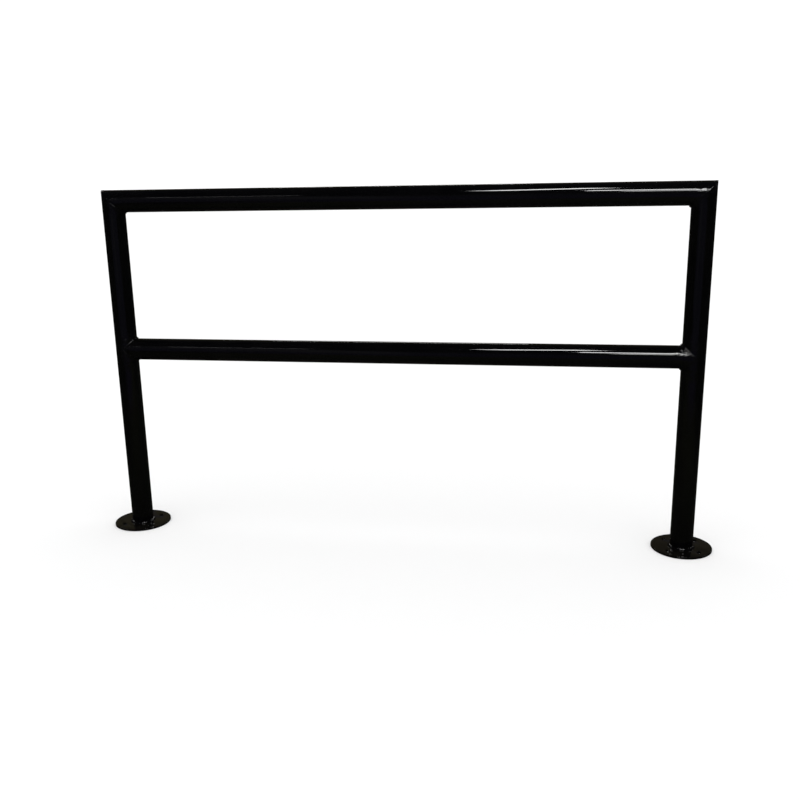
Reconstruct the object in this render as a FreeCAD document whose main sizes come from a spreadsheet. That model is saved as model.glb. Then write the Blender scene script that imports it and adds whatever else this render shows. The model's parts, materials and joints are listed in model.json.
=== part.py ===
import FreeCAD, Part
import os
import Sketcher
from FreeCAD import Placement, Rotation, Vector

# Two-rail hoop barrier, welded from round steel tube, that bolts down on two round base plates.
# Millimetres, +Z up, +X along the rails. The origin is on the floor, midway between the posts.
# Pieces that belong to a post are drawn in that post's own frame: its origin is on the floor
# under the post's axis, and +X points outwards, away from the other post. The left-hand ones
# are the same piece turned half a turn about Z.

# Driving sizes: alias in the sheet, value in millimetres (or degrees, or a count), meaning.
DRIVING_SIZES = [
    ("post_spacing", 1560.0, "between the axes of the two posts"),
    ("top_rail_height", 940.0, "floor to the top rail's axis"),
    ("mid_rail_height", 528.0, "floor to the middle rail's axis"),
    ("tube_diameter", 60.3, "outside diameter of posts and rails"),
    ("tube_wall", 3.2, "wall of posts and rails"),
    ("plate_diameter", 160.0, "round base plate"),
    ("plate_thickness", 5.0, "round base plate"),
    ("plate_edge_break", 0.5, "chamfer on the plate's rim"),
    ("bolt_circle_diameter", 114.0, "circle through the bolt holes' centres"),
    ("bolt_hole_diameter", 12.0, "clearance hole for an M10 anchor"),
    ("bolt_count", 4, "bolt holes in each plate"),
    ("first_bolt_angle", 45.0, "first bolt hole, degrees round from the rails' direction"),
    ("cope_nose_flat", 3.0, "trimmed off the thin noses of the middle rail's coped ends"),
    ("bead_radius", 5.0, "section of the tube-to-tube weld beads"),
    ("bead_cap", 1.2, "how far a bead stands off the tubes where they are flush"),
    ("corner_flush", 0.4, "how far the corner bead stands off at the dressed outer corner"),
    ("base_weld_leg", 6.0, "leg of the fillet weld round the foot of a post"),
]

CUT_ALLOWANCE = 2.0          # how far a cutting sketch runs past the metal it removes
RADIUS = "Sizes.tube_diameter / 2"
BEAD_DEPTH = "(Sizes.bead_radius - Sizes.bead_cap)"
CORNER_DEPTH = "((Sizes.bead_radius - Sizes.corner_flush) * sqrt(2))"
Y_AXIS = Vector(0, 1, 0)
ORIGIN = (-1, 1)             # the sketch origin, as Sketcher names it

doc = FreeCAD.newDocument("HoopBarrier")


# ---------------------------------------------------------------- sheet and helpers

def make_sheet():
    sheet = doc.addObject("Spreadsheet::Sheet", "Sizes")
    for row, (alias, value, meaning) in enumerate(DRIVING_SIZES, start=1):
        sheet.set(f"A{row}", alias)
        sheet.set(f"B{row}", str(value))
        sheet.setAlias(f"B{row}", alias)
        sheet.set(f"C{row}", meaning)
    doc.recompute()
    return sheet


def size(alias):
    return float(doc.getObject("Sizes").get(alias))


def bind(thing, **expressions):
    """Tie properties to the sheet; a double underscore stands for a dot."""
    for name, expression in expressions.items():
        path = name.replace("__", ".")
        thing.setExpression("." + path if "." in path else path, expression)


def origin_plane(body, role):
    return next(plane for plane in body.Origin.OriginFeatures if plane.Role == role)


def new_sketch(body, name, role):
    sketch = body.newObject("Sketcher::SketchObject", name)
    sketch.AttachmentSupport = [(origin_plane(body, role), "")]
    sketch.MapMode = "FlatFace"
    return sketch


def dimension(sketch, kind, targets, name, expression, value):
    """Add a driving dimension to a sketch and tie it to the sheet."""
    index = sketch.addConstraint(Sketcher.Constraint(kind, *targets, value))
    sketch.renameConstraint(index, name)
    sketch.setExpression("Constraints." + name, expression)


def add_circle(sketch, name, expression, value):
    """A circle on the sketch origin, its radius tied to the sheet."""
    circle = sketch.addGeometry(Part.Circle(Vector(), Vector(0, 0, 1), value), False)
    sketch.addConstraint(Sketcher.Constraint("Coincident", circle, 3, *ORIGIN))
    dimension(sketch, "Radius", (circle,), name, expression, value)
    return circle


def add_polygon(sketch, name, corners):
    """A closed outline whose corners are each tied to the sheet: (x rule, x, z rule, z)."""
    points = [Vector(x, z, 0) for _, x, _, z in corners]
    count = len(points)
    lines = [sketch.addGeometry(Part.LineSegment(points[i], points[(i + 1) % count]), False)
             for i in range(count)]
    for i, line in enumerate(lines):
        sketch.addConstraint(Sketcher.Constraint("Coincident", line, 2, lines[(i + 1) % count], 1))
    for i, (x_rule, x, z_rule, z) in enumerate(corners):
        for kind, axis, rule, value in (("DistanceX", "x", x_rule, x), ("DistanceY", "z", z_rule, z)):
            dimension(sketch, kind, (*ORIGIN, lines[i], 1), f"{name}{i}{axis}", rule, value)


def place_on_post(piece, side):
    """Stand a piece that is drawn in the post's frame on the left or the right post."""
    turn = 0 if side == "right" else 180
    sign = "" if side == "right" else "-"
    piece.Placement = Placement(Vector(), Rotation(Vector(0, 0, 1), turn))
    bind(piece, Placement__Base__x=f"{sign}Sizes.post_spacing / 2")


def tube_sketch(body, role):
    """The section of the tube: outside and bore."""
    sketch = new_sketch(body, body.Name + "Section", role)
    outside = size("tube_diameter") / 2
    add_circle(sketch, "outside", RADIUS, outside)
    add_circle(sketch, "bore", RADIUS + " - Sizes.tube_wall", outside - size("tube_wall"))
    return sketch


def pocket_through(body, name, sketch):
    """Cut a sketch right through a body, both ways from the sketch's plane."""
    before = body.Shape.Volume
    pocket = body.newObject("PartDesign::Pocket", name)
    pocket.Profile = sketch
    pocket.Type = "ThroughAll"
    pocket.SideType = "Symmetric"
    doc.recompute()
    if not pocket.Shape.Volume < before:
        raise RuntimeError(f"{name} cut nothing")
    return pocket


# ---------------------------------------------------------------- tubes

def make_post(side):
    """An upright, square on the plate at its foot and cut at 45 degrees at its head."""
    body = doc.addObject("PartDesign::Body", side.capitalize() + "Post")
    body.Label = f"{side}_post"
    section = tube_sketch(body, "XY_Plane")
    section.AttachmentOffset = Placement(Vector(0, 0, size("plate_thickness")), Rotation())
    bind(section, AttachmentOffset__Base__z="Sizes.plate_thickness")
    pad = body.newObject("PartDesign::Pad", body.Name + "Tube")
    pad.Profile = section
    bind(pad, Length=f"Sizes.top_rail_height + {RADIUS} - Sizes.plate_thickness")
    doc.recompute()

    mitre = new_sketch(body, body.Name + "MitreLine", "XZ_Plane")
    reach = size("tube_diameter") / 2 + CUT_ALLOWANCE
    height = size("top_rail_height")
    reach_rule = f"({RADIUS} + {CUT_ALLOWANCE})"
    inner = ("-" + reach_rule, -reach)
    outer = (reach_rule, reach)
    low = (f"Sizes.top_rail_height - {reach_rule}", height - reach)
    high = (f"Sizes.top_rail_height + {reach_rule}", height + reach)
    add_polygon(mitre, "mitre", [(*inner, *low), (*outer, *high), (*inner, *high)])
    pocket_through(body, body.Name + "Mitre", mitre)
    place_on_post(body, side)
    return body


def make_rail(label, height_alias):
    """A tube along X between the posts, with its ends still to be cut."""
    body = doc.addObject("PartDesign::Body", label.title().replace("_", ""))
    body.Label = label
    section = tube_sketch(body, "YZ_Plane")
    pad = body.newObject("PartDesign::Pad", body.Name + "Tube")
    pad.Profile = section
    pad.SideType = "Symmetric"
    bind(body, Placement__Base__z="Sizes." + height_alias)
    return body, pad


def make_top_rail():
    """The top rail, cut at 45 degrees at both ends to meet the posts' heads."""
    body, pad = make_rail("top_rail", "top_rail_height")
    bind(pad, Length="Sizes.post_spacing + Sizes.tube_diameter")
    doc.recompute()
    mitres = new_sketch(body, body.Name + "MitreLines", "XZ_Plane")
    half = size("post_spacing") / 2
    reach = size("tube_diameter") / 2 + CUT_ALLOWANCE
    reach_rule = f"({RADIUS} + {CUT_ALLOWANCE})"
    for end, sign in (("right", ""), ("left", "-")):
        flip = 1 if end == "right" else -1
        inner = (f"{sign}(Sizes.post_spacing / 2 - {reach_rule})", flip * (half - reach))
        outer = (f"{sign}(Sizes.post_spacing / 2 + {reach_rule})", flip * (half + reach))
        low = ("-" + reach_rule, -reach)
        high = (reach_rule, reach)
        add_polygon(mitres, end, [(*inner, *low), (*outer, *low), (*outer, *high)])
    pocket_through(body, body.Name + "Mitres", mitres)
    return body


def make_mid_rail():
    """The middle rail, its ends coped to sit on the round of the posts."""
    body, pad = make_rail("mid_rail", "mid_rail_height")
    bind(pad, Length="Sizes.post_spacing - 2 * Sizes.cope_nose_flat")
    doc.recompute()
    copes = new_sketch(body, body.Name + "Copes", "XY_Plane")
    radius = size("tube_diameter") / 2
    for end, sign in (("right", ""), ("left", "-")):
        flip = 1 if end == "right" else -1
        centre = flip * size("post_spacing") / 2
        circle = copes.addGeometry(Part.Circle(Vector(centre, 0, 0), Vector(0, 0, 1), radius), False)
        copes.addConstraint(Sketcher.Constraint("PointOnObject", circle, 3, -1))
        dimension(copes, "DistanceX", (*ORIGIN, circle, 3), end + "Post",
                  f"{sign}Sizes.post_spacing / 2", centre)
        dimension(copes, "Radius", (circle,), end + "Cope", RADIUS, radius)
    pocket_through(body, body.Name + "CopedEnds", copes)
    return body


# ---------------------------------------------------------------- base plates

def make_base_plate(side):
    """A round plate with its rim broken and bolt holes spaced evenly round the post."""
    body = doc.addObject("PartDesign::Body", side.capitalize() + "BasePlate")
    body.Label = f"{side}_base_plate"
    disc = new_sketch(body, body.Name + "Disc", "XY_Plane")
    add_circle(disc, "rim", "Sizes.plate_diameter / 2", size("plate_diameter") / 2)
    pad = body.newObject("PartDesign::Pad", body.Name + "Blank")
    pad.Profile = disc
    bind(pad, Length="Sizes.plate_thickness")
    doc.recompute()

    chamfer = body.newObject("PartDesign::Chamfer", body.Name + "EdgeBreak")
    rim_edges = [f"Edge{i}" for i, edge in enumerate(pad.Shape.Edges, start=1)
                 if isinstance(edge.Curve, Part.Circle)]
    chamfer.Base = (pad, rim_edges)
    bind(chamfer, Size="Sizes.plate_edge_break")
    doc.recompute()

    drilling = new_sketch(body, body.Name + "FirstHole", "XY_Plane")
    hole = drilling.addGeometry(
        Part.Circle(Vector(size("bolt_circle_diameter") / 2, 0, 0), Vector(0, 0, 1),
                    size("bolt_hole_diameter") / 2), False)
    drilling.addConstraint(Sketcher.Constraint("PointOnObject", hole, 3, -1))
    dimension(drilling, "DistanceX", (*ORIGIN, hole, 3), "boltCircle",
              "Sizes.bolt_circle_diameter / 2", size("bolt_circle_diameter") / 2)
    dimension(drilling, "Radius", (hole,), "boltHole",
              "Sizes.bolt_hole_diameter / 2", size("bolt_hole_diameter") / 2)
    drilling.AttachmentOffset = Placement(Vector(), Rotation(Vector(0, 0, 1), size("first_bolt_angle")))
    bind(drilling, AttachmentOffset__Rotation__Angle="Sizes.first_bolt_angle")
    drilled = pocket_through(body, body.Name + "Hole", drilling)

    holes = body.newObject("PartDesign::PolarPattern", body.Name + "Holes")
    holes.Originals = [drilled]
    holes.Axis = (drilling, ["N_Axis"])
    holes.Angle = 360
    bind(holes, Occurrences="Sizes.bolt_count")
    body.Tip = holes
    place_on_post(body, side)
    return body


# ---------------------------------------------------------------- welds

def make_base_weld(side):
    """The fillet weld all round the foot of a post."""
    body = doc.addObject("PartDesign::Body", side.capitalize() + "BaseWeld")
    body.Label = f"{side}_base_weld"
    fillet = new_sketch(body, body.Name + "Fillet", "XZ_Plane")
    radius = size("tube_diameter") / 2
    leg = size("base_weld_leg")
    floor = size("plate_thickness")
    wall = (RADIUS, radius)
    toe = (f"{RADIUS} + Sizes.base_weld_leg", radius + leg)
    low = ("Sizes.plate_thickness", floor)
    high = ("Sizes.plate_thickness + Sizes.base_weld_leg", floor + leg)
    add_polygon(fillet, "fillet", [(*wall, *low), (*toe, *low), (*wall, *high)])
    ring = body.newObject("PartDesign::Revolution", body.Name + "Ring")
    ring.Profile = fillet
    ring.ReferenceAxis = (fillet, ["V_Axis"])
    ring.Angle = 360
    place_on_post(body, side)
    return body


def tube_space(name, turn, base):
    """A solid bar as thick as the tube: the room that a tube takes up inside a bead."""
    bar = doc.addObject("Part::Cylinder", name)
    bar.Placement = Placement(Vector(), Rotation(Y_AXIS, turn))
    bind(bar, Radius=RADIUS, Height="Sizes.tube_diameter * 2", **base)
    return bar


def corner_space(name):
    """The room that the post's head and the top rail take up: a bar with one square corner."""
    body = doc.addObject("PartDesign::Body", name)
    start = size("top_rail_height") - 2 * size("tube_diameter")
    path = new_sketch(body, name + "Path", "XZ_Plane")
    run = 2 * size("tube_diameter")
    corner = Vector(0, size("top_rail_height"), 0)
    upright = path.addGeometry(Part.LineSegment(corner - Vector(0, run, 0), corner), False)
    level = path.addGeometry(Part.LineSegment(corner, corner - Vector(run, 0, 0)), False)
    path.addConstraint(Sketcher.Constraint("Coincident", upright, 2, level, 1))
    path.addConstraint(Sketcher.Constraint("PointOnObject", upright, 1, -2))
    path.addConstraint(Sketcher.Constraint("Vertical", upright))
    path.addConstraint(Sketcher.Constraint("Horizontal", level))
    dimension(path, "DistanceY", (*ORIGIN, upright, 2), "height",
              "Sizes.top_rail_height", size("top_rail_height"))
    for line, label in ((upright, "upright"), (level, "level")):
        dimension(path, "Distance", (line,), label, "2 * Sizes.tube_diameter", run)
    section = new_sketch(body, name + "Section", "XY_Plane")
    section.AttachmentOffset = Placement(Vector(0, 0, start), Rotation())
    bind(section, AttachmentOffset__Base__z="Sizes.top_rail_height - 2 * Sizes.tube_diameter")
    add_circle(section, "outside", RADIUS, size("tube_diameter") / 2)
    bar = body.newObject("PartDesign::AdditivePipe", name + "Bar")
    bar.Profile = section
    bar.Spine = (path, ["Edge1", "Edge2"])
    bar.Transition = "Right corner"
    return body


def sweep_bead(name, path, section):
    """Sweep a round section along a path."""
    bead = doc.addObject("Part::Sweep", name)
    bead.Sections = [section]
    bead.Spine = (path, ["Edge1"])
    bead.Solid = True
    return bead


def lay_on_tubes(label, name, side, bead, room):
    """Cut the tubes' room out of a bead, so that it lies on them, and stand it on its post."""
    weld = doc.addObject("Part::Cut", name)
    weld.Base = bead
    weld.Tool = room
    weld.Label = label
    place_on_post(weld, side)
    return weld


def make_corner_weld(side):
    """The bead round the 45-degree joint between a post's head and the top rail.

    Its centre line is an ellipse in the joint's plane. It touches the inner corner, where the
    bead is a full fillet, and runs deeper towards the outer corner, which is dressed flush.
    """
    name = side.capitalize() + "CornerWeld"
    centre_x = f"-{CORNER_DEPTH} / 2 / sqrt(2)"
    centre_z = f"Sizes.top_rail_height - {CORNER_DEPTH} / 2 / sqrt(2)"
    half_length = f"({RADIUS} * sqrt(2) - {CORNER_DEPTH} / 2)"

    path = doc.addObject("Part::Ellipse", name + "Path")
    path.Placement = Placement(Vector(), Rotation(Y_AXIS, -45))
    bind(path, MajorRadius=half_length, MinorRadius=f"{RADIUS} - {BEAD_DEPTH}",
         Placement__Base__x=centre_x, Placement__Base__z=centre_z)
    section = doc.addObject("Part::Circle", name + "Section")
    section.Placement = Placement(Vector(), Rotation(Vector(1, 0, 0), -90))
    bind(section, Radius="Sizes.bead_radius",
         Placement__Base__x=f"{centre_x} + {half_length} / sqrt(2)",
         Placement__Base__z=f"{centre_z} + {half_length} / sqrt(2)")
    bead = sweep_bead(name + "Bead", path, section)
    return lay_on_tubes(f"{side}_corner_weld", name, side, bead, corner_space(name + "Tubes"))


def half_saddle_bead(name, path_turn, section_turn):
    """Half of the saddle bead, swept along the upper or the lower half ellipse of the seam."""
    path = doc.addObject("Part::Ellipse", name + "Path")
    path.Placement = Placement(Vector(), Rotation(Y_AXIS, path_turn))
    path.Angle1 = 270
    path.Angle2 = 90
    bind(path, MajorRadius=f"{RADIUS} * sqrt(2)", MinorRadius=f"{RADIUS} - {BEAD_DEPTH}",
         Placement__Base__z="Sizes.mid_rail_height")
    section = doc.addObject("Part::Circle", name + "Section")
    section.Placement = Placement(Vector(), Rotation(Y_AXIS, section_turn))
    bind(section, Radius="Sizes.bead_radius", Placement__Base__y=f"{BEAD_DEPTH} - {RADIUS}",
         Placement__Base__z="Sizes.mid_rail_height")
    return sweep_bead(name + "Bead", path, section)


def make_mid_rail_weld(side):
    """The bead round the saddle joint between a post and the middle rail.

    The seam of two equal tubes is two half ellipses that meet at the tubes' sides. The bead is
    a full fillet above and below the rail, and low at the sides, where the tubes are flush.
    """
    name = side.capitalize() + "MidRailWeld"
    bead = doc.addObject("Part::MultiFuse", name + "Bead")
    bead.Shapes = [half_saddle_bead(name + "Upper", -135, -45),
                   half_saddle_bead(name + "Lower", 135, -135)]
    post = tube_space(name + "PostRoom", 0,
                      {"Placement__Base__z": "Sizes.mid_rail_height - Sizes.tube_diameter"})
    rail = tube_space(name + "RailRoom", -90, {"Placement__Base__z": "Sizes.mid_rail_height"})
    room = doc.addObject("Part::MultiFuse", name + "Tubes")
    room.Shapes = [post, rail]
    return lay_on_tubes(f"{side}_mid_rail_weld", name, side, bead, room)


# ---------------------------------------------------------------- build, check and write

def check(pieces):
    """Stop if anything failed to recompute, or if a piece isn't one valid solid."""
    failed = [thing.Name for thing in doc.Objects
              if "Invalid" in thing.State or "Error" in thing.State]
    if failed:
        raise RuntimeError("failed: " + ", ".join(failed))
    for piece in pieces:
        shape = piece.Shape
        if shape.isNull() or not shape.isValid() or len(shape.Solids) != 1:
            raise RuntimeError(piece.Label + " isn't one valid solid")


def write(pieces):
    os.makedirs("parts", exist_ok=True)
    for piece in pieces:
        piece.Shape.exportStep(f"parts/{piece.Label}.step")
        box = piece.Shape.BoundBox
        print(f"{piece.Label:22s} {piece.Shape.Volume / 1000:9.2f} cm3  "
              f"{box.XLength:8.2f} x {box.YLength:7.2f} x {box.ZLength:7.2f} mm")


make_sheet()
pieces = [make_top_rail(), make_mid_rail()]
for side in ("left", "right"):
    for make in (make_post, make_base_plate, make_corner_weld, make_mid_rail_weld, make_base_weld):
        pieces.append(make(side))
doc.recompute()
check(pieces)
write(pieces)
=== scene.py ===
import json
import math
import random
import bpy
from mathutils import Matrix, Vector


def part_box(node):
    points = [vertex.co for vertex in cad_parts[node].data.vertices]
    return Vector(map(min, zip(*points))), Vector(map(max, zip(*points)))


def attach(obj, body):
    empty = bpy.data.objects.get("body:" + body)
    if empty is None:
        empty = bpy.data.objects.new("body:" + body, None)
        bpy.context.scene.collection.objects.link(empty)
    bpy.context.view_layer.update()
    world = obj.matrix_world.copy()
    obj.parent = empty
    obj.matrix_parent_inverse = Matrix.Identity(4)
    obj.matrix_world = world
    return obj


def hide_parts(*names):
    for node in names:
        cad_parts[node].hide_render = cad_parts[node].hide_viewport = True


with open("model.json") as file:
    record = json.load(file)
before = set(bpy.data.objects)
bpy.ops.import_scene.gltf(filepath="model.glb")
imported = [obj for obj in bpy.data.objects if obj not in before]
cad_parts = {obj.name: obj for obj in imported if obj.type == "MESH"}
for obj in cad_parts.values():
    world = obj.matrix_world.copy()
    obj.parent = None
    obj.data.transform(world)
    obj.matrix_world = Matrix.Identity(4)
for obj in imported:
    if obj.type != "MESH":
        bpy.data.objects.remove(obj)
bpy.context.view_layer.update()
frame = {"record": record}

# A bolt-down hoop barrier of round steel tube, gloss black. Metres, +Z up, +X along the rails.
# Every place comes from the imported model's boxes; the values here are finishes and trade sizes.

MM = 0.001
TUBE_WALL = 3.2 * MM
TUBE_FACETS = 144
TUBE_RINGS = 24                  # cross cuts that keep a long tube's faces near square
NOSE_FLAT = 3.0 * MM             # trimmed off the thin noses of the coped middle rail
PLATE_FACETS = 224
HOLE_FACETS = 56
FIRST_HOLE = math.radians(45)    # the holes' turn round the plate
RIM_ROUND = 0.4 * MM             # coated edge of a plate or a hole
RIM_ANGLE = math.radians(60)     # edges sharper than this are rounded
BEAD_RADIUS = 5.0 * MM           # section of a tube-to-tube bead
BEAD_CAP = 1.2 * MM              # how far a saddle bead stands off where the tubes are flush
CORNER_CAP = 0.6 * MM            # and a mitre's bead, which is dressed low
CORNER_FLUSH = 0.4 * MM          # and lowest at the outer corner
BASE_BEAD_RADIUS = 5.6 * MM
RIPPLE_PITCH = 2.4 * MM
FOOT_RIPPLE_PITCH = 1.6 * MM     # the foot beads are laid slower and smoother
RIPPLE_HALF_LENGTH = 4.2 * MM
RIPPLE_LEAN = math.radians(20)
LEAN_SPREAD = 0.08               # no two ripples are alike: radians of lean either way,
SIZE_SPREAD = (0.96, 1.04)       # shares of the bead's radius,
LENGTH_SPREAD = (0.92, 1.08)     # shares of the half length,
STRAY = 0.2                      # and millimetres along the seam either way
SEAM_SAMPLES = 1440              # points that a seam is measured by
BEAD_VOXEL = 0.55 * MM
BEAD_SINK = 1.0 * MM             # how far a foot bead's flat underside sits in the plate
SMOOTH_ANGLE = math.radians(32)

SIDES = {"left": -1, "right": 1}
ACROSS = Vector((0, 1, 0))
UP = Vector((0, 0, 1))


# ------------------------------------------------------------------ sizes from the frame

class Sizes:
    """Where the tubes and plates are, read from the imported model."""

    def __init__(self):
        low, high = (Vector(corner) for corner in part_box("right_post"))
        self.radius = (high.x - low.x) / 2
        self.post_x = (high.x + low.x) / 2
        self.plate_top = low.z
        self.top_axis = high.z - self.radius
        low, high = (Vector(corner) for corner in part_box("mid_rail"))
        self.mid_axis = (high.z + low.z) / 2
        low, high = (Vector(corner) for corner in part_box("right_base_plate"))
        self.plate_radius = (high.x - low.x) / 2
        mounts = {mount["name"]: mount for mount in frame["record"]["mounts"]}
        bolts = mounts["right_base_bolts"]["dims"]
        self.bolt_circle = bolts["pcd_mm"] / 2 * MM
        self.bolt_count = bolts["count"]
        self.hole_radius = bolts["hole_r_mm"] * MM


at = Sizes()


# ------------------------------------------------------------------ bench helpers

def take(piece):
    """Select one object alone and make it the active one."""
    bpy.ops.object.select_all(action="DESELECT")
    piece.select_set(True)
    bpy.context.view_layer.objects.active = piece


def fix_in_place(piece):
    take(piece)
    bpy.ops.object.transform_apply(location=True, rotation=True, scale=True)


def run_modifier(piece, kind, **settings):
    take(piece)
    modifier = piece.modifiers.new(kind.lower(), kind)
    for name, value in settings.items():
        setattr(modifier, name, value)
    bpy.ops.object.modifier_apply(modifier=modifier.name)


def in_edit_mode(piece, work):
    take(piece)
    bpy.ops.object.mode_set(mode="EDIT")
    bpy.ops.mesh.select_all(action="SELECT")
    work()
    bpy.ops.object.mode_set(mode="OBJECT")


def saw(piece, point, away):
    """Cut the piece with a plane and throw away the side that `away` points to."""
    in_edit_mode(piece, lambda: bpy.ops.mesh.bisect(
        plane_co=point, plane_no=away, clear_outer=True, use_fill=False))


def drill(piece, cutter):
    run_modifier(piece, "BOOLEAN", object=cutter, operation="DIFFERENCE", solver="EXACT")
    bpy.data.objects.remove(cutter)


def add_cylinder(name, radius, start, end, facets, fill="NGON"):
    bpy.ops.object.select_all(action="DESELECT")
    run = end - start
    turn = UP.rotation_difference(run).to_euler()
    bpy.ops.mesh.primitive_cylinder_add(vertices=facets, radius=radius, depth=run.length,
                                        end_fill_type=fill, location=(start + end) / 2,
                                        rotation=turn)
    piece = bpy.context.object
    piece.name = piece.data.name = name
    fix_in_place(piece)
    return piece


def smooth(piece):
    take(piece)
    bpy.ops.object.shade_smooth_by_angle(angle=SMOOTH_ANGLE)


def stand_in(piece, node, finish):
    """Give a finished piece its coat and its body, and hide the node that it stands for."""
    piece.data.materials.clear()
    piece.data.materials.append(finish)
    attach(piece, "root")
    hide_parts(node)


# ------------------------------------------------------------------ tubes

def open_tube(name, start, end):
    """A length of tube with no ends, cut across at even steps."""
    tube = add_cylinder(name, at.radius, start, end, TUBE_FACETS, fill="NOTHING")
    run = end - start
    for step in range(1, TUBE_RINGS):
        point = start + run * step / TUBE_RINGS
        in_edit_mode(tube, lambda: bpy.ops.mesh.bisect(plane_co=point, plane_no=run.normalized()))
    return tube


def give_wall(tube):
    in_edit_mode(tube, lambda: bpy.ops.mesh.normals_make_consistent(inside=False))
    run_modifier(tube, "SOLIDIFY", thickness=TUBE_WALL, offset=-1, use_rim=True,
                 use_even_offset=True)


def make_post(side):
    """The upright: square at its foot, cut at 45 degrees at its head."""
    x = SIDES[side] * at.post_x
    head = Vector((x, 0, at.top_axis))
    tube = open_tube(f"{side}_post_tube", Vector((x, 0, at.plate_top)), head + UP * at.radius)
    saw(tube, head, Vector((-SIDES[side], 0, 1)))
    give_wall(tube)
    smooth(tube)
    return tube


def make_top_rail():
    """The top rail: cut at 45 degrees at both ends."""
    end = Vector((at.post_x + at.radius, 0, at.top_axis))
    tube = open_tube("top_rail_tube", Vector((-end.x, 0, end.z)), end)
    for sign in SIDES.values():
        saw(tube, Vector((sign * at.post_x, 0, at.top_axis)), Vector((sign, 0, -1)))
    give_wall(tube)
    smooth(tube)
    return tube


def make_mid_rail():
    """The middle rail: its ends are coped to sit on the round of the posts."""
    end = Vector((at.post_x - NOSE_FLAT, 0, at.mid_axis))
    tube = open_tube("mid_rail_tube", Vector((-end.x, 0, end.z)), end)
    give_wall(tube)
    for sign in SIDES.values():
        foot = Vector((sign * at.post_x, 0, at.mid_axis - 2 * at.radius))
        drill(tube, add_cylinder("cope", at.radius, foot, foot + UP * 4 * at.radius, TUBE_FACETS))
    smooth(tube)
    return tube


# ------------------------------------------------------------------ base plates

def make_base_plate(side):
    """A round plate with its bolt holes, every edge rounded as a coat leaves it."""
    centre = Vector((SIDES[side] * at.post_x, 0, 0))
    plate = add_cylinder(f"{side}_foot_plate", at.plate_radius, centre,
                         centre + UP * at.plate_top, PLATE_FACETS)
    for number in range(at.bolt_count):
        angle = FIRST_HOLE + 2 * math.pi * number / at.bolt_count
        hole = centre + at.bolt_circle * Vector((math.cos(angle), math.sin(angle), 0))
        drill(plate, add_cylinder("drill", at.hole_radius, hole - UP * at.plate_top,
                                  hole + UP * 2 * at.plate_top, HOLE_FACETS))
    run_modifier(plate, "BEVEL", width=RIM_ROUND, segments=3, limit_method="ANGLE",
                 angle_limit=RIM_ANGLE)
    smooth(plate)
    return plate


# ------------------------------------------------------------------ weld beads

def corner_seam(side):
    """Centre line of the bead round the 45-degree joint: an ellipse in the joint's plane.

    It touches the inner corner and runs deeper towards the outer corner, which is dressed.
    """
    deep = (BEAD_RADIUS - CORNER_FLUSH) * math.sqrt(2)
    long_half = at.radius * math.sqrt(2) - deep / 2
    short_half = at.radius - (BEAD_RADIUS - CORNER_CAP)
    outwards = Vector((SIDES[side], 0, 1)).normalized()
    centre = Vector((SIDES[side] * at.post_x, 0, at.top_axis)) - outwards * deep / 2
    return centre, lambda turn: (centre + outwards * long_half * math.cos(turn)
                                 + ACROSS * short_half * math.sin(turn))


def saddle_seam(side):
    """Centre line of the bead where the middle rail meets a post: two half ellipses."""
    long_half = at.radius * math.sqrt(2)
    short_half = at.radius - (BEAD_RADIUS - BEAD_CAP)
    centre = Vector((SIDES[side] * at.post_x, 0, at.mid_axis))

    def point(turn):
        half = Vector((-SIDES[side], 0, math.copysign(1, math.cos(turn)))).normalized()
        return (centre + half * long_half * abs(math.cos(turn))
                + ACROSS * short_half * math.sin(turn))
    return centre, point


def base_seam(side):
    """Centre line of the fillet round a post's foot. The bead leans up and outwards."""
    foot = Vector((SIDES[side] * at.post_x, 0, at.plate_top))
    return foot - UP * at.radius, lambda turn: (
        foot + at.radius * Vector((math.cos(turn), math.sin(turn), 0)))


def even_steps(point, pitch):
    """Places at an even pitch along a closed line, each with its direction of travel."""
    samples = [point(2 * math.pi * step / SEAM_SAMPLES) for step in range(SEAM_SAMPLES + 1)]
    lengths = [0.0]
    for before, after in zip(samples, samples[1:]):
        lengths.append(lengths[-1] + (after - before).length)
    count = round(lengths[-1] / pitch)
    places = []
    index = 0
    for number in range(count):
        target = lengths[-1] * number / count
        while lengths[index + 1] < target:
            index += 1
        share = (target - lengths[index]) / (lengths[index + 1] - lengths[index])
        place = samples[index].lerp(samples[index + 1], share)
        places.append((place, (samples[index + 1] - samples[index]).normalized()))
    return places


def make_ripple():
    """One ripple of weld metal, as a unit ball to be flattened and leaned."""
    bpy.ops.object.select_all(action="DESELECT")
    bpy.ops.mesh.primitive_uv_sphere_add(segments=20, ring_count=12, radius=1)
    return bpy.context.object


def trim_below(bead, floor):
    """Cut a foot bead flat just inside the plate under it, and close the cut."""
    if min(vertex.co.z for vertex in bead.data.vertices) < floor:
        in_edit_mode(bead, lambda: bpy.ops.mesh.bisect(
            plane_co=(0, 0, floor), plane_no=(0, 0, -1), clear_outer=True, use_fill=True))


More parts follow.
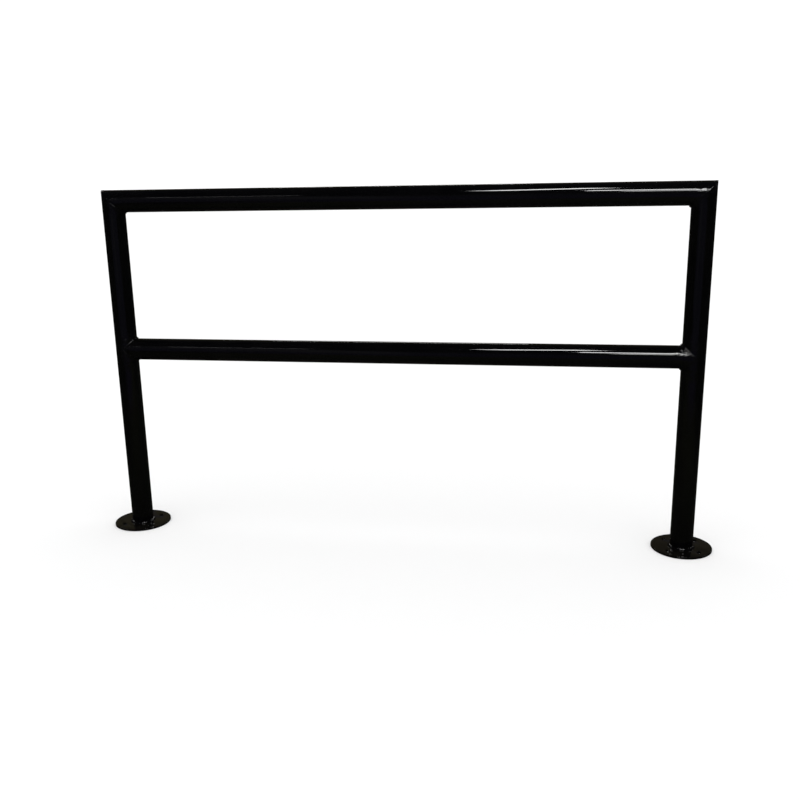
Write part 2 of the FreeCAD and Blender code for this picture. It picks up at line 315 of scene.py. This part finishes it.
def lay_bead(name, seam, radius, seed, pitch=RIPPLE_PITCH):
    """Lay overlapping ripples along a seam and melt them into one bead."""
    floor = at.plate_top - BEAD_SINK
    dice = random.Random(seed)
    centre, point = seam
    ripple = make_ripple()
    ripples = []
    for place, ahead in even_steps(point, pitch):
        out = place - centre
        out = (out - ahead * out.dot(ahead)).normalized()
        beside = out.cross(ahead)
        lean = Matrix.Rotation(RIPPLE_LEAN + dice.uniform(-LEAN_SPREAD, LEAN_SPREAD), 3, beside)
        size = radius * dice.uniform(*SIZE_SPREAD)
        length = RIPPLE_HALF_LENGTH * dice.uniform(*LENGTH_SPREAD)
        axes = (lean @ ahead * length, beside * size, lean @ out * size)
        copy = ripple.copy()
        copy.data = ripple.data.copy()
        copy.matrix_world = Matrix((axes[0], axes[1], axes[2])).transposed().to_4x4()
        copy.matrix_world.translation = place + ahead * dice.uniform(-STRAY, STRAY) * MM
        bpy.context.collection.objects.link(copy)
        ripples.append(copy)
    bpy.data.objects.remove(ripple)
    bpy.ops.object.select_all(action="DESELECT")
    for copy in ripples:
        copy.select_set(True)
    bead = ripples[0]
    bpy.context.view_layer.objects.active = bead
    bpy.ops.object.join()
    bead.name = bead.data.name = name
    fix_in_place(bead)
    run_modifier(bead, "REMESH", mode="VOXEL", voxel_size=BEAD_VOXEL, use_smooth_shade=True)
    run_modifier(bead, "SMOOTH", factor=0.5, iterations=4)
    trim_below(bead, floor)
    take(bead)
    bpy.ops.object.shade_smooth()
    return bead


# ------------------------------------------------------------------ finishes

class Nodes:
    """Adds and links shader nodes with one call each."""

    def __init__(self, tree):
        self.tree = tree
        tree.nodes.clear()

    def add(self, kind, inputs=None, **settings):
        node = self.tree.nodes.new("ShaderNode" + kind)
        for name, value in settings.items():
            setattr(node, name, value)
        for name, value in (inputs or {}).items():
            socket = node.inputs[name]
            if isinstance(value, bpy.types.NodeSocket):
                self.tree.links.new(value, socket)
            else:
                socket.default_value = value
        return node

    def math(self, operation, first, second=0.0):
        return self.add("Math", {0: first, 1: second}, operation=operation).outputs[0]

    def ramp(self, value, low, high):
        """0 below low, 1 above high."""
        return self.add("MapRange", {"Value": value, "From Min": low, "From Max": high},
                        interpolation_type="SMOOTHSTEP").outputs["Result"]

    def fall(self, value, low, high):
        """1 below low, 0 above high."""
        return self.math("SUBTRACT", 1.0, self.ramp(value, low, high))


def new_group(name, inputs, outputs):
    tree = bpy.data.node_groups.new(name, "ShaderNodeTree")
    nodes = Nodes(tree)
    for title, kind, value in inputs:
        socket = tree.interface.new_socket(name=title, in_out="INPUT", socket_type=kind)
        socket.default_value = value
    for title, kind in outputs:
        tree.interface.new_socket(name=title, in_out="OUTPUT", socket_type=kind)
    arrive = tree.nodes.new("NodeGroupInput")
    leave = tree.nodes.new("NodeGroupOutput")
    return tree, nodes, arrive.outputs, leave.inputs


NUMBER = "NodeSocketFloat"
DUST = (0.27, 0.24, 0.17, 1)
DUST_MATT = 0.6                  # roughness that full dust adds


def orange_peel():
    """The skin of a sprayed and baked coat: a fine dimple over a slow waviness."""
    tree, nodes, given, made = new_group(
        "orange_peel",
        [("Peel Scale", NUMBER, 420.0), ("Peel Depth", NUMBER, 4e-6),
         ("Wave Scale", NUMBER, 22.0), ("Wave Depth", NUMBER, 5e-5)],
        [("Height", NUMBER), ("Patch", NUMBER)])
    place = nodes.add("TexCoord").outputs["Object"]
    peel = nodes.add("TexNoise", {"Vector": place, "Scale": given["Peel Scale"], "Detail": 1.5,
                                  "Roughness": 0.4})
    wave = nodes.add("TexNoise", {"Vector": place, "Scale": given["Wave Scale"], "Detail": 2.0,
                                  "Roughness": 0.45})
    fine = nodes.math("MULTIPLY", peel.outputs["Fac"], given["Peel Depth"])
    slow = nodes.math("MULTIPLY", wave.outputs["Fac"], given["Wave Depth"])
    tree.links.new(nodes.math("ADD", fine, slow), made["Height"])
    patch = nodes.add("TexNoise", {"Vector": place, "Scale": 9.0, "Detail": 4.0, "Roughness": 0.6})
    tree.links.new(nodes.ramp(patch.outputs["Fac"], 0.35, 0.68), made["Patch"])
    return tree


def off_tube(nodes, height, axis):
    """How far a height is above or below a rail whose axis is at the given height."""
    level = nodes.math("ABSOLUTE", nodes.math("SUBTRACT", height, axis))
    return nodes.math("MAXIMUM", nodes.math("SUBTRACT", level, at.radius), 0.0)


def joint_marks():
    """Dressing marks and spatter under the coat, close beside the welded joints."""
    tree, nodes, given, made = new_group(
        "joint_marks",
        [("Scale", NUMBER, 105.0), ("Depth", NUMBER, 2e-3), ("Reach", NUMBER, 0.036)],
        [("Height", NUMBER)])
    place = nodes.add("TexCoord").outputs["Object"]
    axes = nodes.add("SeparateXYZ", {0: place}).outputs
    aside = nodes.math("SUBTRACT", nodes.math("ABSOLUTE", axes["X"]), at.post_x)
    above = nodes.math("SUBTRACT", axes["Z"], at.top_axis)
    off_mitre = nodes.math("ABSOLUTE", nodes.math("SUBTRACT", aside, above))
    off_mitre = nodes.math("ADD", off_mitre, off_tube(nodes, axes["Z"], at.top_axis))
    spread = nodes.math("SQRT", nodes.math("ADD", nodes.math("POWER", aside, 2.0),
                                           nodes.math("POWER", axes["Y"], 2.0)))
    off_post = nodes.math("ADD", nodes.math("SUBTRACT", spread, at.radius),
                          nodes.math("MAXIMUM", aside, 0.0))
    off_saddle = nodes.math("ADD", off_post, off_tube(nodes, axes["Z"], at.mid_axis))
    off_joint = nodes.math("MINIMUM", off_mitre, off_saddle)
    near = nodes.fall(off_joint, 0.0, given["Reach"])
    lumps = nodes.add("TexNoise", {"Vector": place, "Scale": given["Scale"], "Detail": 2.0,
                                   "Roughness": 0.5})
    raised = nodes.math("MULTIPLY", lumps.outputs["Fac"], given["Depth"])
    tree.links.new(nodes.math("MULTIPLY", raised, near), made["Height"])
    return tree


def settled_dust():
    """A thin, cloudy veil of dust where the surface faces up."""
    tree, nodes, given, made = new_group(
        "settled_dust", [("Amount", NUMBER, 0.05)], [("Dust", NUMBER)])
    geometry = nodes.add("NewGeometry")
    upward = nodes.add("SeparateXYZ", {0: geometry.outputs["Normal"]}).outputs["Z"]
    facing = nodes.ramp(upward, 0.1, 1.0)
    place = nodes.add("TexCoord").outputs["Object"]
    cloud = nodes.add("TexNoise", {"Vector": place, "Scale": 14.0, "Detail": 6.0,
                                   "Roughness": 0.65})
    veil = nodes.math("MULTIPLY", nodes.ramp(cloud.outputs["Fac"], 0.35, 0.75), given["Amount"])
    tree.links.new(nodes.math("MULTIPLY", veil, facing), made["Dust"])
    return tree


def use_group(nodes, tree, inputs):
    node = nodes.add("Group", node_tree=tree)
    for name, value in inputs.items():
        node.inputs[name].default_value = value
    return node.outputs


def gloss_black(name, peel, dust, marks, roughness, tone):
    """Gloss black powder coat: near-black resin, orange peel, weld marks and a breath of dust."""
    material = bpy.data.materials.new(name)
    material.use_nodes = True
    nodes = Nodes(material.node_tree)
    skin = use_group(nodes, peel_group, peel)
    veil = use_group(nodes, dust_group, dust)
    deep, thin = tone
    black = nodes.add("Mix", {"Factor": skin["Patch"], 6: (*deep, 1), 7: (*thin, 1)},
                      data_type="RGBA")
    dusty = nodes.add("Mix", {"Factor": veil["Dust"], 6: black.outputs[2],
                              7: DUST}, data_type="RGBA")
    low, high = roughness
    gloss = nodes.add("MapRange", {"Value": skin["Patch"], "To Min": low, "To Max": high})
    matt = nodes.math("MULTIPLY", veil["Dust"], DUST_MATT)
    rough = nodes.math("ADD", gloss.outputs["Result"], matt)
    height = nodes.math("ADD", skin["Height"], use_group(nodes, marks_group, marks)["Height"])
    bump = nodes.add("Bump", {"Height": height, "Strength": 1.0, "Distance": 1.0})
    shader = nodes.add("BsdfPrincipled", {
        "Base Color": dusty.outputs[2], "Roughness": rough, "IOR": 1.5,
        "Specular IOR Level": 0.5, "Normal": bump.outputs["Normal"]})
    out = nodes.add("OutputMaterial")
    material.node_tree.links.new(shader.outputs["BSDF"], out.inputs["Surface"])
    return material


# ------------------------------------------------------------------ studio

CEILING = 3.2
PALE = (0.94, 0.94, 0.94, 1)
# Painted light: glossy rays see the floor as an emission, a painted pool of light in front of the
# barrier fading to painted dark floor.
LIT_CENTRE = 0.3                 # along X, where the mirrored floor is brightest
LIT_WIDTH = (0.7, 2.2)           # to either side of it: where the light starts and ends fading
FRONT_EDGE = (-0.9, 0.1)         # along Y: from the front floor to the rear floor
FAR_EDGE = (-2.0, -1.0)          # along Y: from the far floor to the front floor
PAINTED_DARK_FLOOR = (0.012, 0.012, 0.010, 1)
PAINTED_REAR_GLOW = (0.024, 0.024, 0.018, 1)
PAINTED_FRONT_GLOW = (0.042, 0.044, 0.026, 1)
PAINTED_FAR_GLOW = (0.047, 0.040, 0.075, 1)

WALL_Y = -3.2
WALL_SHIFT = 0.15                # its middle is this far left
WALL_WIDTH = (2.0, 2.9)          # to either side of the middle, fading
WALL_TOP = (0.75, 1.35)          # above its climbing edge, fading
LEAST_CLIMB = 0.4                # the edge climbs one in one to the left of here
RIGHT_STEP = 0.45                # and steps down by this on the right
STEP_RUN = (0.3, 1.2)
PALE_RUN = (0.2, 0.9)            # leftwards, where the wall turns paler
PALE_RISE = (-0.9, 0.1)          # and upwards, from its climbing edge
# painted light: the card's glow, paler towards the upper left
PAINTED_WALL_GLOW = (0.046, 0.044, 0.070, 1)
PAINTED_PALE_GLOW = (0.085, 0.085, 0.10, 1)
# painted shade: a dark band, no real beam, that hides the hall lamp from the rails' reflections
PAINTED_SHADE_BAND = (0.030, 0.029, 0.035, 1)
SHADE_BAND_BOTTOM = (1.50, 1.60)
SHADE_BAND_TOP = (2.10, 2.20)
SHADE_BAND_START = (0.2, 0.5)

WHITE = (1.12, 1.12, 1.12, 1)
LEVEL_ROOM = (0.035, 0.034, 0.040, 1)
HIGH_ROOM = (0.014, 0.014, 0.020, 1)
ROOM_RISE = (0.1, 0.6)           # upwards, from the level room to the dark overhead
BEHIND_SPAN = (0.35, 0.9)        # rearwards, where the wall behind the barrier comes in
BEHIND_RISE = (0.1, 0.35)        # and upwards
REAR_RUN = (-0.35, 0.1)          # rightwards, from its left tint to its right
REAR_LEFT_WALL = (0.076, 0.067, 0.040, 1)
REAR_RIGHT_WALL = (0.060, 0.053, 0.036, 1)

LENS = 39.07
EYE = (0.3951, -2.2894, 0.9824)
EYE_TURN = (75.810, 0.959, 9.294)


def emission_plane(name, size, place, turn=(0, 0, 0)):
    """A flat stage piece with an empty node material, to be filled in by the caller."""
    bpy.ops.object.select_all(action="DESELECT")
    bpy.ops.mesh.primitive_plane_add(size=size, location=place, rotation=turn)
    piece = bpy.context.object
    piece.name = name
    material = bpy.data.materials.new(name)
    material.use_nodes = True
    piece.data.materials.append(material)
    return piece, Nodes(material.node_tree)


def blend_colours(nodes, mask, low, high):
    return nodes.add("Mix", {"Factor": mask, 6: low, 7: high}, data_type="RGBA").outputs[2]


def make_floor():
    """A plain pale floor. Glossy rays see a painted reflection instead: an emission that paints a
    pool of light in front of the barrier and a dim floor elsewhere.
    """
    floor, nodes = emission_plane("studio_floor", 80, (0, 0, 0))
    bounce = nodes.add("LightPath").outputs["Is Glossy Ray"]
    pale = nodes.add("BsdfDiffuse", {"Color": PALE})
    place = nodes.add("SeparateXYZ", {0: nodes.add("TexCoord").outputs["Object"]}).outputs
    aside = nodes.math("ABSOLUTE", nodes.math("SUBTRACT", place["X"], LIT_CENTRE))
    across = nodes.fall(aside, *LIT_WIDTH)
    front = nodes.fall(place["Y"], *FRONT_EDGE)
    far = nodes.fall(place["Y"], *FAR_EDGE)
    # painted light: the glossy floor's pool of light is mixed from emission colours, not lit by a
    # lamp
    lit = blend_colours(nodes, far, PAINTED_FRONT_GLOW, PAINTED_FAR_GLOW)
    lit = blend_colours(nodes, front, PAINTED_REAR_GLOW, lit)
    glow = blend_colours(nodes, across, PAINTED_DARK_FLOOR, lit)
    dim = nodes.add("Emission", {"Color": glow, "Strength": 1.0})
    mix = nodes.add("MixShader", {0: bounce, 1: pale.outputs[0], 2: dim.outputs[0]})
    out = nodes.add("OutputMaterial")
    nodes.tree.links.new(mix.outputs[0], out.inputs["Surface"])


def make_wall():
    """A painted reflection behind the camera, for the gloss alone: a glowing card that stands in
    for a dim wall.

    Its top edge climbs to the left. On the right a band of painted shade crosses the gap above it,
    hiding the hall lamp from the rails' gloss.
    """
    wall, nodes = emission_plane("painted_glow_wall", 10, (0, WALL_Y, 0), (math.radians(90), 0, 0))
    place = nodes.add("SeparateXYZ", {0: nodes.add("TexCoord").outputs["Object"]}).outputs
    leftwards = nodes.math("MULTIPLY", place["X"], -1.0)
    climb = nodes.math("MAXIMUM", leftwards, LEAST_CLIMB)
    step_down = nodes.math("MULTIPLY", nodes.ramp(place["X"], *STEP_RUN), RIGHT_STEP)
    climb = nodes.math("SUBTRACT", climb, step_down)
    height = nodes.math("SUBTRACT", place["Y"], climb)
    below = nodes.fall(height, *WALL_TOP)
    aside = nodes.math("ABSOLUTE", nodes.math("ADD", place["X"], WALL_SHIFT))
    across = nodes.fall(aside, *WALL_WIDTH)
    # painted light: the card's glow turns paler to the left and upwards
    paler = nodes.math("MULTIPLY", nodes.ramp(leftwards, *PALE_RUN), nodes.ramp(height, *PALE_RISE))
    painted_light = blend_colours(nodes, paler, PAINTED_WALL_GLOW, PAINTED_PALE_GLOW)
    # painted shade: the dark band across the gap above the card
    shade_band = nodes.math("MULTIPLY", nodes.ramp(place["Y"], *SHADE_BAND_BOTTOM),
                      nodes.fall(place["Y"], *SHADE_BAND_TOP))
    shade_band = nodes.math("MULTIPLY", shade_band, nodes.ramp(place["X"], *SHADE_BAND_START))
    lit = nodes.math("MAXIMUM", nodes.math("MULTIPLY", below, across), shade_band)
    painted_light = blend_colours(nodes, shade_band, painted_light, PAINTED_SHADE_BAND)
    glow = nodes.add("Emission", {"Color": painted_light, "Strength": 1.0})
    clear = nodes.add("BsdfTransparent")
    mix = nodes.add("MixShader", {0: lit, 1: clear.outputs[0], 2: glow.outputs[0]})
    out = nodes.add("OutputMaterial")
    nodes.tree.links.new(mix.outputs[0], out.inputs["Surface"])
    for ray in ("camera", "diffuse", "transmission", "volume_scatter", "shadow"):
        setattr(wall, f"visible_{ray}", False)


def make_sky():
    """White all round for the eye and for soft light; a dim room for the gloss to mirror.

    The room is dark overhead, and has a paler, warmer wall behind the barrier.
    """
    world = bpy.data.worlds.new("studio")
    bpy.context.scene.world = world
    world.use_nodes = True
    nodes = Nodes(world.node_tree)
    bounce = nodes.add("LightPath").outputs["Is Glossy Ray"]
    white = nodes.add("Background", {"Color": WHITE, "Strength": 1.0})
    way = nodes.add("SeparateXYZ", {0: nodes.add("TexCoord").outputs["Generated"]}).outputs
    room = blend_colours(nodes, nodes.ramp(way["Z"], *ROOM_RISE), LEVEL_ROOM, HIGH_ROOM)
    behind = nodes.math("MULTIPLY", nodes.ramp(way["Y"], *BEHIND_SPAN),
                        nodes.ramp(way["Z"], *BEHIND_RISE))
    warm = blend_colours(nodes, nodes.ramp(way["X"], *REAR_RUN), REAR_LEFT_WALL, REAR_RIGHT_WALL)
    wall = blend_colours(nodes, behind, room, warm)
    dim = nodes.add("Background", {"Color": wall, "Strength": 1.0})
    mix = nodes.add("MixShader", {0: bounce, 1: white.outputs[0], 2: dim.outputs[0]})
    out = nodes.add("OutputWorld")
    world.node_tree.links.new(mix.outputs[0], out.inputs["Surface"])


def hang_lamp(name, place, size, turn, brightness):
    """A rectangular ceiling lamp that faces straight down; the gloss mirrors it as a streak."""
    data = bpy.data.lights.new(name, "AREA")
    data.shape = "RECTANGLE"
    data.size, data.size_y = size
    data.energy = brightness * math.pi * size[0] * size[1]
    lamp = bpy.data.objects.new(name, data)
    lamp.location = place
    lamp.rotation_euler = (0, 0, math.radians(turn))
    lamp.visible_diffuse = False
    bpy.context.collection.objects.link(lamp)


def make_camera():
    data = bpy.data.cameras.new("camera")
    data.lens = LENS
    data.sensor_width = 36
    data.clip_end = 200
    camera = bpy.data.objects.new("camera", data)
    camera.location = EYE
    camera.rotation_euler = [math.radians(angle) for angle in EYE_TURN]
    bpy.context.collection.objects.link(camera)
    bpy.context.scene.camera = camera


# ------------------------------------------------------------------ build

peel_group = orange_peel()
marks_group = joint_marks()
dust_group = settled_dust()
TONE = ((0.0005, 0.0005, 0.0006), (0.0008, 0.0008, 0.0009))
tube_coat = gloss_black("gloss_black_tube", {"Peel Scale": 420.0, "Peel Depth": 4e-6},
                        {"Amount": 0.004}, {"Depth": 2.2e-3}, (0.035, 0.07), TONE)
plate_coat = gloss_black("gloss_black_plate",
                         {"Peel Scale": 380.0, "Peel Depth": 5e-6, "Wave Depth": 2e-5},
                         {"Amount": 0.016}, {"Depth": 0.0}, (0.02, 0.05), TONE)
weld_coat = gloss_black("gloss_black_weld", {"Peel Scale": 700.0, "Peel Depth": 5e-6},
                        {"Amount": 0.006}, {"Depth": 7e-4}, (0.03, 0.06), TONE)

stand_in(make_top_rail(), "top_rail", tube_coat)
stand_in(make_mid_rail(), "mid_rail", tube_coat)
for side in SIDES:
    stand_in(make_post(side), f"{side}_post", tube_coat)
    stand_in(make_base_plate(side), f"{side}_base_plate", plate_coat)
    stand_in(lay_bead(f"{side}_corner_bead", corner_seam(side), BEAD_RADIUS, f"{side} corner"),
             f"{side}_corner_weld", weld_coat)
    stand_in(lay_bead(f"{side}_saddle_bead", saddle_seam(side), BEAD_RADIUS, f"{side} saddle"),
             f"{side}_mid_rail_weld", weld_coat)
    stand_in(lay_bead(f"{side}_foot_bead", base_seam(side), BASE_BEAD_RADIUS, f"{side} foot",
                      FOOT_RIPPLE_PITCH),
             f"{side}_base_weld", weld_coat)

make_floor()
make_wall()
make_sky()
hang_lamp("strip_lamp", (0.365, -1.485, CEILING), (0.93, 0.27), 46, 23)
hang_lamp("near_panel", (1.38, -2.90, CEILING), (1.45, 0.60), 0, 20)
hang_lamp("far_panel", (1.62, -4.25, CEILING), (1.25, 1.30), 0, 8)
hang_lamp("left_tube", (-1.84, -3.15, 2.91), (1.1, 0.05), 0, 6)
hang_lamp("hall_lamp", (1.80, -7.55, CEILING), (1.5, 1.1), 0, 8)
hang_lamp("rear_strip", (-0.9, 4.6, CEILING), (2.4, 0.40), -14, 9)
hang_lamp("rear_left_panel", (-3.6, 2.6, CEILING), (1.2, 1.2), 0, 4)
hang_lamp("rear_right_panel", (3.4, 2.4, CEILING), (1.2, 1.2), 0, 4)
make_camera()
bpy.context.scene.view_settings.view_transform = "Standard"
